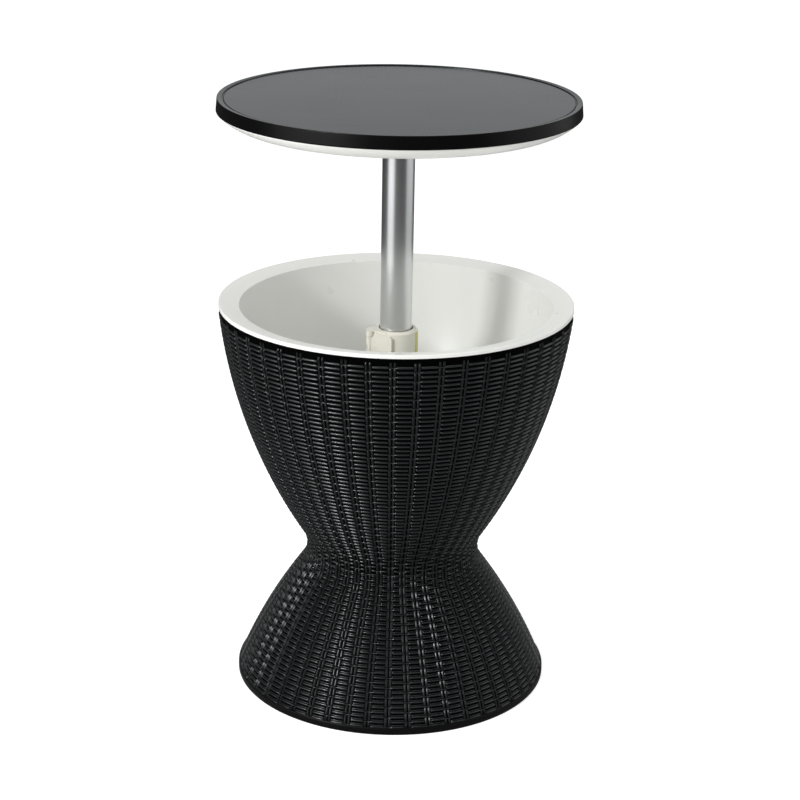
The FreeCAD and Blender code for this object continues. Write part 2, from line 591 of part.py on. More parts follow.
def collar_clamp():
    """Split collar round the pole, with two ears, a hinge for the lever and a spigot in the column."""
    body = new_body("collar_clamp")
    spigot = "place.column_bore - size.spigot_gap"
    revolve(body, [
        ("place.collar_bore", "size.column_top - size.spigot_length"),
        (spigot, "size.column_top - size.spigot_length"),
        (spigot, "size.column_top"),
        ("place.collar_radius", "size.column_top"),
        ("place.collar_radius", "place.collar_top - size.collar_chamfer"),
        ("place.collar_radius - size.collar_chamfer", "place.collar_top"),
        ("place.collar_bore", "place.collar_top"),
    ])
    hinge_side = "-place.hinge_left - size.knuckle_radius"
    turn = "size.lever_turn"
    start_x, start_y = turned("place.shoulder_start", "place.shoulder_back", turn)
    shoulder = [
        ("-place.ear_inner", "-place.slit_half"),
        ("-place.collar_radius - size.ear_root", "-place.slit_half"),
        (hinge_side, "-size.lug_back"),
        (hinge_side, "-place.hinge_front",
         "-place.hinge_left", "-place.hinge_front - size.knuckle_radius"),
        (f"{start_x} - place.hinge_left", f"{start_y} - place.hinge_front"),
        turned("0", "-place.collar_radius", turn),
    ]
    pad(body, draw(new_sketch(body, "XY_Plane", "place.cap_under"), shoulder), "size.cap_thickness")
    pad(body, draw(new_sketch(body, "XY_Plane", "size.column_top"), shoulder), "size.lug_thickness")
    front_ear = draw_box(new_sketch(body, "XY_Plane", "size.column_top"), "-place.ear_outer",
                         "-place.ear_front", "-place.ear_inner", "-place.slit_half")
    pad(body, front_ear, "size.collar_height - size.cap_thickness")
    back_ear = draw_box(new_sketch(body, "XY_Plane", "place.bolt_level - size.back_ear_height / 2"),
                        "-place.ear_outer", "place.slit_half", "-place.ear_inner", "place.ear_back")
    pad(body, back_ear, "size.back_ear_height")
    bore = draw_circle(new_sketch(body, "XY_Plane", "size.column_top - size.overcut"), "0", "0",
                       "place.collar_bore + size.bore_relief")
    pocket(body, bore, "size.collar_height + 2 * size.overcut")
    slit = draw_box(new_sketch(body, "XY_Plane", "size.column_top + size.slit_foot"),
                    "-place.ear_outer - size.overcut", "-place.slit_half",
                    "-place.collar_bore / 2", "place.slit_half")
    pocket(body, slit, "size.collar_height")
    pin_hole = draw_circle(new_sketch(body, "XY_Plane", "place.pin_foot"), "-place.hinge_left",
                           "-place.hinge_front", "size.pin_radius + size.pin_fit")
    pocket(body, pin_hole, "size.collar_height")
    bolt_hole = draw_circle(new_sketch(body, "XZ_Plane"), "-place.hinge_left", "place.bolt_level",
                            "size.bolt_radius + size.bolt_gap")
    pocket(body, bolt_hole, "2 * place.ear_outer", midplane=True)
    seat = [turned(f"place.collar_radius {depth}", f"{side} size.strip_width / 2", "size.strip_turn")
            for depth, side in (("- size.strip_depth", "-"), ("+ size.overcut", "-"),
                                ("+ size.overcut", ""), ("- size.strip_depth", ""))]
    pocket(body, draw(new_sketch(body, "XY_Plane", "place.strip_foot"), seat), "size.strip_height")
    screw_holes = draw_circle(new_sketch(body, "XZ_Plane"), "0", "place.collar_screw_level",
                              "size.collar_screw_radius + size.screw_gap")
    pocket(body, screw_holes, "4 * place.collar_radius", midplane=True)


def collar_screws():
    """Two short screws through the column into the collar's spigot."""
    body = new_body("collar_screws")
    body.AllowCompound = True
    tip = "place.collar_bore + size.collar_screw_inset"
    head = "place.column_radius + size.collar_screw_head_height"
    screw = revolve(body, [
        ("0", tip),
        ("size.collar_screw_radius", tip),
        ("size.collar_screw_radius", "place.column_radius"),
        ("size.collar_screw_head", "place.column_radius"),
        (f"size.collar_screw_head * {HEAD_FLAT}", head),
        ("0", head),
    ], "XY_Plane", "place.collar_screw_level")
    ring_of(body, [screw], "2")


def indicator_strip():
    """Yellow strip let into the right side of the collar, turned a little to the front."""
    strip = doc.addObject("Part::Box", "indicator_strip")
    strip.Label = "indicator_strip"
    strip.setExpression("Length", "size.strip_depth + size.strip_proud")
    strip.setExpression("Width", "size.strip_width")
    strip.setExpression("Height", "size.strip_height")
    corner_x, corner_y = turned("place.collar_radius - size.strip_depth", "-size.strip_width / 2",
                                "size.strip_turn")
    strip.setExpression("Placement", f"placement(vector({corner_x}; {corner_y}; place.strip_foot);"
                        " rotation(vector(0; 0; 1); -size.strip_turn))")


def lever_pin():
    """Hinge pin of the locking lever, upright in the collar."""
    pin = doc.addObject("Part::Cylinder", "lever_pin")
    pin.Label = "lever_pin"
    pin.setExpression("Radius", "size.pin_radius")
    pin.setExpression("Height", "place.pin_length")
    pin.setExpression("Placement.Base.x", "-place.hinge_left")
    pin.setExpression("Placement.Base.y", "-place.hinge_front")
    pin.setExpression("Placement.Base.z", "place.pin_foot")


def clamp_bolt():
    """Eye bolt that hangs on the lever pin and runs through both ears."""
    body = new_body("clamp_bolt")
    eye = new_sketch(body, "XY_Plane", "place.bolt_level - size.bolt_eye_height / 2")
    draw_circle(eye, "-place.hinge_left", "-place.hinge_front", "size.eye_radius")
    draw_circle(eye, "-place.hinge_left", "-place.hinge_front", "size.pin_radius + size.pin_fit")
    pad(body, eye, "size.bolt_eye_height")
    shank = new_sketch(body, "XZ_Plane", "-place.bolt_end")
    draw_circle(shank, "-place.hinge_left", "place.bolt_level", "size.bolt_radius")
    pad(body, shank, "place.bolt_end + place.hinge_front - (size.pin_radius + size.eye_radius) / 2")


def clamp_nut():
    body = new_body("clamp_nut")
    sketch = new_sketch(body, "XZ_Plane", "-place.ear_back - size.clamp_nut_height")
    draw_hexagon(sketch, "-place.hinge_left", "place.bolt_level", "size.clamp_nut_radius")
    draw_circle(sketch, "-place.hinge_left", "place.bolt_level", "size.bolt_radius + size.bolt_gap / 2")
    pad(body, sketch, "size.clamp_nut_height")


def lock_lever():
    """Flat lever whose knuckle is hollow round the bolt's eye and open behind, so that it can swing.

    Its own frame has the pin at the origin and runs along +X.
    """
    body = new_body("lock_lever")
    knuckle = new_sketch(body, "XY_Plane", "place.lever_foot")
    draw_circle(knuckle, "0", "0", "size.knuckle_radius")
    pad(body, knuckle, "place.lever_height")
    corner = "size.lever_corner"
    shoulder = f"{corner} * {ARC_IN}"
    knuckle_top = "place.lever_foot + place.lever_height"
    top = "place.lever_crest - size.crest_fall"
    end = "size.lever_length"
    plate = draw(new_sketch(body, "XZ_Plane", "-size.lever_back"), [
        ("0", "place.lever_foot"),
        (f"{end} - {corner}", "place.lever_foot", f"{end} - {shoulder}", f"place.lever_foot + {shoulder}"),
        (end, f"place.lever_foot + {corner}"),
        (end, f"{top} - {corner}", f"{end} - {shoulder}", f"{top} - {shoulder}"),
        (f"{end} - {corner}", top),
        ("size.crest_reach", "place.lever_crest"),
        ("size.knuckle_radius + size.lever_gap", knuckle_top),
        ("0", knuckle_top),
    ])
    pad(body, plate, "size.lever_thickness")
    fork_foot = "place.bolt_level - place.fork_height / 2"
    fork = draw_circle(new_sketch(body, "XY_Plane", fork_foot), "0", "0", "place.fork_radius")
    pocket(body, fork, "place.fork_height")
    side = "(size.bolt_radius + size.fork_gap)"
    out = "(size.knuckle_radius + size.overcut)"
    closed = "-size.lever_turn"
    opened = "-size.lever_turn - size.lever_swing"
    mouth = draw(new_sketch(body, "XY_Plane", fork_foot), [
        turned(side, "0", closed),
        turned(side, out, closed),
        (f"-{out}", out),
        (f"-{out}", f"-{out}"),
        turned(f"-{side}", out, opened),
        turned(f"-{side}", "0", opened),
    ])
    pocket(body, mouth, "place.fork_height")
    pin_hole = new_sketch(body, "XY_Plane", "place.lever_foot - size.overcut")
    draw_circle(pin_hole, "0", "0", "size.pin_radius + size.pin_fit")
    pocket(body, pin_hole, "place.lever_height + 2 * size.overcut")
    for step in (-1, 0, 1):
        level = f"place.lever_foot + place.lever_height / 2 + ({step}) * size.groove_pitch"
        high = f"{level} + size.groove_fall / 2"
        low = f"{level} - size.groove_fall / 2"
        groove = draw(new_sketch(body, "XZ_Plane", "size.lever_thickness - size.lever_back"), [
            ("size.groove_start", f"{high} - size.groove_width / 2"),
            (f"{end} - size.groove_end", f"{low} - size.groove_width / 2"),
            (f"{end} - size.groove_end", f"{low} + size.groove_width / 2"),
            ("size.groove_start", f"{high} + size.groove_width / 2"),
        ])
        pocket(body, groove, "size.groove_depth", upward=False)
    body.setExpression("Placement", "placement(vector(-place.hinge_left; -place.hinge_front; 0);"
                       " rotation(vector(0; 0; 1); -size.lever_turn))")


def pole_end_plug():
    """Plug in the pole's foot, with the neck that the glide turns on."""
    body = new_body("pole_end_plug")
    bore = "size.end_screw_radius + size.screw_gap"
    spigot = "place.pole_bore - size.plug_fit"
    revolve(body, [
        (bore, "place.neck_foot"),
        ("size.neck_radius", "place.neck_foot"),
        ("size.neck_radius", "place.end_flange"),
        ("size.pole_radius", "place.end_flange"),
        ("size.pole_radius", "size.pole_foot"),
        (spigot, "size.pole_foot"),
        (spigot, "size.pole_foot + size.plug_length"),
        (bore, "size.pole_foot + size.plug_length"),
    ])


def glide_ring():
    """Ring that slides in the guide tube. Its two keys keep it from turning."""
    body = ring_part("glide_ring", "size.neck_radius + size.glide_fit", "place.glide_radius",
                     "place.glide_foot", "place.glide_top")
    key_half = "size.key_width / 2 - size.glide_gap"
    sketch = draw_box(new_sketch(body, "XY_Plane", "place.glide_foot"),
                      "place.glide_radius - size.key_depth", f"-({key_half})",
                      "place.glide_radius + size.key_depth", key_half)
    key = pad(body, sketch, "size.glide_height")
    ring_of(body, [key], "2")


def end_screw():
    """Screw that holds the washer and the glide to the pole's foot."""
    body = new_body("end_screw")
    seat = "place.neck_foot - size.washer_thickness"
    head = f"{seat} - size.end_screw_head_height"
    tip = f"{seat} + size.end_screw_length"
    revolve(body, [
        ("0", head),
        (f"size.end_screw_head * {HEAD_FLAT}", head),
        ("size.end_screw_head", f"{head} + size.end_screw_head_height / 3"),
        ("size.end_screw_head", seat),
        ("size.end_screw_radius", seat),
        ("size.end_screw_radius", f"{tip} - size.end_screw_radius / 2"),
        ("size.end_screw_radius / 2", tip),
        ("0", tip),
    ])
    sketch = draw_hexagon(new_sketch(body, "XY_Plane", head), "0", "0", "size.end_screw_radius")
    pocket(body, sketch, "size.end_screw_head_height / 2")


def table_top():
    """Black top with a raised lip, a band round its edge and screw bosses underneath."""
    body = new_body("table_top")
    bevel = f"size.table_bevel * {ARC_IN}"
    inner = "place.table_radius - size.lip_width"
    band = "place.table_radius - size.band_wall"
    revolve(body, [
        ("0", "place.recess_level"),
        (f"{inner} - size.lip_slope", "place.recess_level"),
        (inner, "size.table_height"),
        ("place.table_radius - size.table_bevel", "size.table_height",
         f"place.table_radius - {bevel}", f"size.table_height - {bevel}"),
        ("place.table_radius", "size.table_height - size.table_bevel"),
        ("place.table_radius", "place.table_under"),
        (band, "place.table_under"),
        (band, "place.skin_under"),
        ("0", "place.skin_under"),
    ])
    boss_ring(body, "size.boss_circle", "place.recess_inside", "place.skin_under - place.recess_inside",
              "size.boss_count")
    boss_ring(body, "size.hub_circle", "place.lid_inside", "place.skin_under - place.lid_inside",
              "size.hub_count")


def lid_underside():
    """White dished underside of the lid, which rests on the bowl's rim when the table is lowered."""
    body = new_body("lid_underside")
    wall = "size.lid_wall"
    slope = "size.recess_slope"
    side = f"{wall} * {INSIDE_SLOPE}"
    revolve(body, [
        ("place.socket_hole", "place.lid_flat"),
        ("size.recess_inner", "place.lid_flat"),
        (f"size.recess_inner + {slope}", "place.recess_under"),
        (f"place.recess_radius - {slope}", "place.recess_under"),
        ("place.recess_radius", "place.lid_flat"),
        ("place.lid_corner_radius", "place.lid_flat",
         "place.lid_bulge_radius", "place.table_under - size.lid_bulge_drop"),
        ("place.lid_radius", "place.table_under - size.lid_edge"),
        ("place.lid_radius", "place.lid_top"),
        (f"place.lid_radius - {wall}", "place.lid_top"),
        (f"place.lid_radius - {wall}", f"place.table_under - size.lid_edge + {side}",
         f"place.lid_bulge_radius - {wall} * {INSIDE_BEND}",
         f"place.table_under - size.lid_bulge_drop + {wall} * {INSIDE_BEND}"),
        (f"place.lid_corner_radius - {side}", "place.lid_inside"),
        (f"place.recess_radius + {side}", "place.lid_inside"),
        (f"place.recess_radius - {slope} + {side}", "place.recess_inside"),
        (f"size.recess_inner + {slope} - {side}", "place.recess_inside"),
        (f"size.recess_inner - {side}", "place.lid_inside"),
        ("place.socket_hole", "place.lid_inside"),
    ])
    through = f"{wall} + 2 * size.overcut"
    hole_ring(body, "size.boss_circle", "place.screw_clear", "place.recess_under - size.overcut",
              through, "size.boss_count")
    hole_ring(body, "size.hub_circle", "place.screw_clear", "place.lid_flat - size.overcut",
              through, "size.hub_count")


def pole_socket():
    """Ribbed socket under the lid that takes the top of the pole. Its ribs stand between its screws."""
    body = new_body("pole_socket")
    insert = "size.insert_radius + size.stud_fit"
    revolve(body, [
        ("place.socket_bore", "place.socket_foot"),
        ("place.socket_radius", "place.socket_foot"),
        ("place.socket_radius", "place.socket_seat"),
        ("size.socket_flange", "place.socket_seat"),
        ("size.socket_flange", "place.lid_flat"),
        ("place.socket_radius", "place.lid_flat"),
        ("place.socket_radius", "place.socket_top"),
        (insert, "place.socket_top"),
        (insert, "place.socket_ceiling"),
        ("place.socket_bore", "place.socket_ceiling"),
    ])
    root = "place.socket_radius - size.socket_wall / 2"
    rim = "size.socket_flange - size.socket_rib"
    ceiling = "place.socket_seat + size.socket_flange_thickness / 2"
    sketch = draw(new_sketch(body, "XZ_Plane", "-size.socket_rib / 2"), [
        (root, "place.socket_foot + size.socket_rib"),
        ("place.socket_radius + size.socket_rib / 4", "place.socket_foot + size.socket_rib"),
        (rim, "place.socket_seat - size.socket_rib / 2"),
        (rim, ceiling),
        (root, ceiling),
    ])
    rib = pad(body, sketch, "size.socket_rib")
    ring_of(body, [rib], "size.hub_count")
    hole_ring(body, "size.hub_circle", "place.screw_clear", "place.socket_seat - size.overcut",
              "size.socket_flange_thickness + 2 * size.overcut", "size.hub_count", turn=45)
    body.setExpression("Placement", "placement(vector(0; 0; 0); rotation(vector(0; 0; 1); 45))")


def pole_top_plug():
    """Plug in the top of the pole that holds the stud."""
    body = new_body("pole_top_plug")
    bore = "size.stud_radius + size.stud_fit"
    spigot = "place.pole_bore - size.plug_fit"
    revolve(body, [
        (bore, "place.pole_top - size.plug_length"),
        (spigot, "place.pole_top - size.plug_length"),
        (spigot, "place.pole_top"),
        ("size.pole_radius", "place.pole_top"),
        ("size.pole_radius", "place.plug_cap"),
        (bore, "place.plug_cap"),
    ])


def pole_stud():
    body = new_body("pole_stud")
    top = "place.socket_top - size.stud_bevel"
    revolve(body, [
        ("0", "place.stud_foot"),
        ("size.stud_radius", "place.stud_foot"),
        ("size.stud_radius", f"{top} - size.stud_bevel"),
        ("size.stud_radius - size.stud_bevel", top),
        ("0", top),
    ])


def set_at_drain(body):
    body.setExpression("Placement.Base.y", "size.drain_circle")


def drain_fitting():
    """Flanged drain tube in the floor of the bowl."""
    body = new_body("drain_fitting")
    revolve(body, [
        ("size.drain_bore", "place.drain_foot"),
        ("place.drain_radius", "place.drain_foot"),
        ("place.drain_radius", "place.seal_top"),
        ("size.drain_flange", "place.seal_top"),
        ("size.drain_flange", "place.drain_top - size.flange_bevel"),
        ("size.drain_flange - size.flange_bevel", "place.drain_top"),
        ("size.drain_bore", "place.drain_top"),
    ])
    set_at_drain(body)


def drain_nut():
    body = new_body("drain_nut")
    sketch = new_sketch(body, "XY_Plane", "place.floor_under - size.drain_nut_height")
    draw_hexagon(sketch, "0", "0", "size.drain_nut_radius")
    draw_circle(sketch, "0", "0", "place.drain_radius + size.nut_gap")
    pad(body, sketch, "size.drain_nut_height")
    set_at_drain(body)


def drain_plug():
    """Plug with a pull tab that lifts out of the drain."""
    body = new_body("drain_plug")
    shank = "size.drain_bore - size.drain_fit"
    foot = "place.plug_seat - size.plug_depth"
    head_top = "place.plug_seat + size.plug_head_height"
    revolve(body, [
        ("0", foot),
        (f"{shank} - size.flange_bevel", foot),
        (shank, f"{foot} + 2 * size.flange_bevel"),
        (shank, "place.plug_seat"),
        ("size.plug_head", "place.plug_seat"),
        ("size.plug_head", f"{head_top} - size.flange_bevel"),
        ("size.plug_head - size.flange_bevel", head_top),
        ("0", head_top),
    ])
    half = "size.tab_width / 2"
    tab_foot = "place.plug_seat + size.plug_head_height / 2"
    tab_top = f"{head_top} + size.tab_height"
    arch = f"{tab_top} - {half}"
    tab = draw(new_sketch(body, "XZ_Plane", "-size.tab_thickness / 2"), [
        (f"-{half}", tab_foot),
        (half, tab_foot),
        (half, arch, "0", tab_top),
        (f"-{half}", arch),
    ])
    draw_circle(tab, "0", arch, "size.tab_hole")
    pad(body, tab, "size.tab_thickness")
    set_at_drain(body)


def build():
    base_shell()
    base_plate()
    screw_ring("base_screws", "place.base_screw_circle", "place.plate_under",
               "size.plate_thickness + size.ledge_thickness", "size.base_screws")
    upper_shell()
    screw_ring("waist_screws", "place.waist_bolt_circle", "size.waist_height - size.flange_thickness",
               "2 * size.flange_thickness + size.hex_nut_height + size.screw_radius", "size.waist_bolts")
    waist_nuts()
    cooler_liner()
    centre_column()
    seal_bore = "place.column_radius + size.seal_inset"
    ring_part("column_seal", seal_bore, "size.column_flange_radius - size.seal_inset", "size.bowl_floor",
              "place.seal_top")
    column_nut()
    guide_tube()
    collar_clamp()
    collar_screws()
    indicator_strip()
    lever_pin()
    clamp_bolt()
    clamp_nut()
    lock_lever()
    ring_part("pole", "place.pole_bore", "size.pole_radius", "size.pole_foot", "place.pole_top")
    pole_end_plug()
    glide_ring()
    ring_part("end_washer", "size.end_screw_radius + size.screw_gap", "size.washer_radius",
              "place.neck_foot - size.washer_thickness", "place.neck_foot")
    end_screw()
    table_top()
    lid_underside()
    screw_ring("lid_screws", "size.boss_circle", "place.recess_under",
               "size.lid_wall + size.screw_bite", "size.boss_count")
    pole_socket()
    screw_ring("socket_screws", "size.hub_circle", "place.socket_seat",
               "size.socket_flange_thickness + size.lid_wall + size.screw_bite", "size.hub_count")
    ring_part("socket_insert", "size.stud_radius + size.stud_fit", "size.insert_radius",
              "place.insert_foot", "place.socket_top")
    pole_top_plug()
    pole_stud()
    drain_fitting()
    gasket = ring_part("drain_gasket", "place.drain_radius + size.nut_gap",
                       "size.drain_flange - size.flange_bevel", "size.bowl_floor", "place.seal_top")
    set_at_drain(gasket)
    drain_nut()
    drain_plug()


def is_sub_part(thing):
    return thing.TypeId in ("PartDesign::Body", "Part::Box", "Part::Cylinder")


def check_model():
    """Stop if any feature failed or any sub-part has no valid shape."""
    for thing in doc.Objects:
        if "Invalid" in thing.State or "Error" in thing.State:
            raise ValueError(f"{thing.Name} failed: {thing.State}")
    for thing in filter(is_sub_part, doc.Objects):
        if thing.Shape.isNull() or not thing.Shape.isValid():
            raise ValueError(f"{thing.Label} has no valid shape")


def write_parts():
    os.makedirs("parts", exist_ok=True)
    for thing in filter(is_sub_part, doc.Objects):
        shape = thing.Shape
        shape.exportStep(os.path.join("parts", f"{thing.Label}.step"))
        box = shape.BoundBox
        print(f"{thing.Label}: {len(shape.Solids)} solids, {shape.Volume / 1000:.1f} cm3,"
              f" z {box.ZMin:.1f} to {box.ZMax:.1f}")


build()
doc.recompute()
check_model()
write_parts()
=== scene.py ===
# %% [markdown]
# # A cooler table, dressed
# The table is an hourglass of two moulded black shells. The upper one holds a white ice bowl, and a round
# black top rises from it on an aluminium pole. The engineering model gives the main sizes and places. This
# lesson adds what that model leaves plain: the woven skin of the shells, soft edges, grain and finishes.
# Lengths are in metres, +Z is up, and the front of the table looks towards -Y.

# %% Load the fixed frame
import json
from bisect import bisect_right
from math import atan2, cos, hypot, pi, radians, sin, sqrt

import bpy
from mathutils import Matrix, Vector


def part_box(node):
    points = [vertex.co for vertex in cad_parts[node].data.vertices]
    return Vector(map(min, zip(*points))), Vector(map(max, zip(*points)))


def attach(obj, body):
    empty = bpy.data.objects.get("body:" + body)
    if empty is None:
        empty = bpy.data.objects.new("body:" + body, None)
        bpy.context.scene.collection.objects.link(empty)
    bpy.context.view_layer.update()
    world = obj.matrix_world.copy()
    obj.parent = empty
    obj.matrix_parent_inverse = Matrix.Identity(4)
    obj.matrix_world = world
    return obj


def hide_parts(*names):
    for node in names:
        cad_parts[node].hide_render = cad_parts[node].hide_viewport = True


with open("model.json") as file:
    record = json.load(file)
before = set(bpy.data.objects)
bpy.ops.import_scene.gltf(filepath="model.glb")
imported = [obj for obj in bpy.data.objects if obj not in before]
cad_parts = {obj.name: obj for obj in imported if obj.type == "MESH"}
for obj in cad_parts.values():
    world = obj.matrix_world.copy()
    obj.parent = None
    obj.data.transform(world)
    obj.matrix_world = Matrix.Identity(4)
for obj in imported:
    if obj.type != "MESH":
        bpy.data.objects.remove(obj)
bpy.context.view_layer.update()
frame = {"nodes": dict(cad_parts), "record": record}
MM = 0.001

# %% [markdown]
# The frame tells how large each piece is, so the outer sizes are read from it and not typed again. What a
# box can't tell, such as the bend of the shells between their ends, is named where it is needed.

# %% Read the main sizes from the frame
FOOT_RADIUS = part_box("base_shell")[1].x
WAIST_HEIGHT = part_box("base_shell")[1].z
SHELL_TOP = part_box("upper_shell")[1].z
SHELL_TOP_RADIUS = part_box("upper_shell")[1].x
TABLE_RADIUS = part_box("table_top")[1].x
TABLE_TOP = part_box("table_top")[1].z
print(f"foot {FOOT_RADIUS:.4f}, waist at {WAIST_HEIGHT:.4f}, table {TABLE_RADIUS:.4f} at {TABLE_TOP:.4f}")

# %% [markdown]
# ## The camera
# The ellipses of the rims tell where the photograph was taken: from 2.75 m in front and half a metre above
# the top, looking down by 19.5 degrees. A long lens gives the table the size that it has there. The pose is
# written as a small matrix: its columns are the camera's right, its up and the way it looks back.

# %% Camera
CAMERA_PLACE = Vector((0, -2.749, 1.383))
CAMERA_DOWN = radians(19.487)
CAMERA_TURN = radians(0.155)
CAMERA_LEAN = radians(1.017)
LENS = 93.17
SENSOR_WIDTH = 36


def add_camera():
    forward = Vector((sin(CAMERA_TURN), cos(CAMERA_TURN), 0))
    ahead = cos(CAMERA_DOWN) * forward - Vector((0, 0, sin(CAMERA_DOWN)))
    level = Vector((cos(CAMERA_TURN), -sin(CAMERA_TURN), 0))
    upright = level.cross(ahead)
    right = cos(CAMERA_LEAN) * level + sin(CAMERA_LEAN) * upright
    up = right.cross(ahead)
    data = bpy.data.cameras.new("camera")
    data.lens = LENS
    data.sensor_width = SENSOR_WIDTH
    camera = bpy.data.objects.new("camera", data)
    camera.matrix_world = Matrix.Translation(CAMERA_PLACE) @ Matrix((right, up, -ahead)).transposed().to_4x4()
    bpy.context.scene.collection.objects.link(camera)
    bpy.context.scene.camera = camera


add_camera()
bpy.context.scene.view_settings.view_transform = "Standard"
print("camera at", tuple(CAMERA_PLACE))

# %% [markdown]
# ## Finishes
# Every finish is a small node graph on the object's own coordinates, so nothing needs unwrapping and the
# pattern stays with the piece when it moves. A finish has three parts: a shader with its plain values, a
# slow cloud of noise that lets colour and gloss wander a little, and a fine grain that only bends the
# light. The grain can be stretched, which turns dots into drawn lines.

# %% One helper for all finishes
CLOUD_SCALE = 14
CLOUD_DETAIL = 3
GRAIN_DETAIL = 2
GRAIN_RISE = 1 / 3


def make_finish(name, light, dark, roughness, grain, stretch=(1, 1, 1), depth=0.2, metallic=0.0,
                gloss_drift=0.08, specular=0.5, tint=(1, 1, 1, 1)):
    """A finish whose colour wanders between light and dark. Grain is the size of its bumps in metres."""
    finish = bpy.data.materials.new(name)
    finish.use_nodes = True
    nodes, links = finish.node_tree.nodes, finish.node_tree.links
    shader = nodes["Principled BSDF"]
    shader.inputs["Metallic"].default_value = metallic
    shader.inputs["Specular IOR Level"].default_value = specular
    shader.inputs["Specular Tint"].default_value = tint
    place = nodes.new("ShaderNodeTexCoord")

    cloud = nodes.new("ShaderNodeTexNoise")
    cloud.inputs["Scale"].default_value = CLOUD_SCALE
    cloud.inputs["Detail"].default_value = CLOUD_DETAIL
    links.new(place.outputs["Object"], cloud.inputs["Vector"])
    blend = nodes.new("ShaderNodeMix")
    blend.data_type = "RGBA"
    blend.inputs["A"].default_value = (*dark, 1)
    blend.inputs["B"].default_value = (*light, 1)
    links.new(cloud.outputs["Fac"], blend.inputs["Factor"])
    links.new(blend.outputs["Result"], shader.inputs["Base Color"])

    gloss = nodes.new("ShaderNodeMapRange")
    gloss.inputs["To Min"].default_value = roughness - gloss_drift
    gloss.inputs["To Max"].default_value = roughness + gloss_drift
    links.new(cloud.outputs["Fac"], gloss.inputs["Value"])
    links.new(gloss.outputs["Result"], shader.inputs["Roughness"])

    scale = nodes.new("ShaderNodeMapping")
    scale.inputs["Scale"].default_value = stretch
    speck = nodes.new("ShaderNodeTexNoise")
    speck.inputs["Scale"].default_value = 1 / grain
    speck.inputs["Detail"].default_value = GRAIN_DETAIL
    bump = nodes.new("ShaderNodeBump")
    bump.inputs["Strength"].default_value = depth
    bump.inputs["Distance"].default_value = grain * GRAIN_RISE
    links.new(place.outputs["Object"], scale.inputs["Vector"])
    links.new(scale.outputs["Vector"], speck.inputs["Vector"])
    links.new(speck.outputs["Fac"], bump.inputs["Height"])
    links.new(bump.outputs["Normal"], shader.inputs["Normal"])
    return finish


print("finish helper ready")
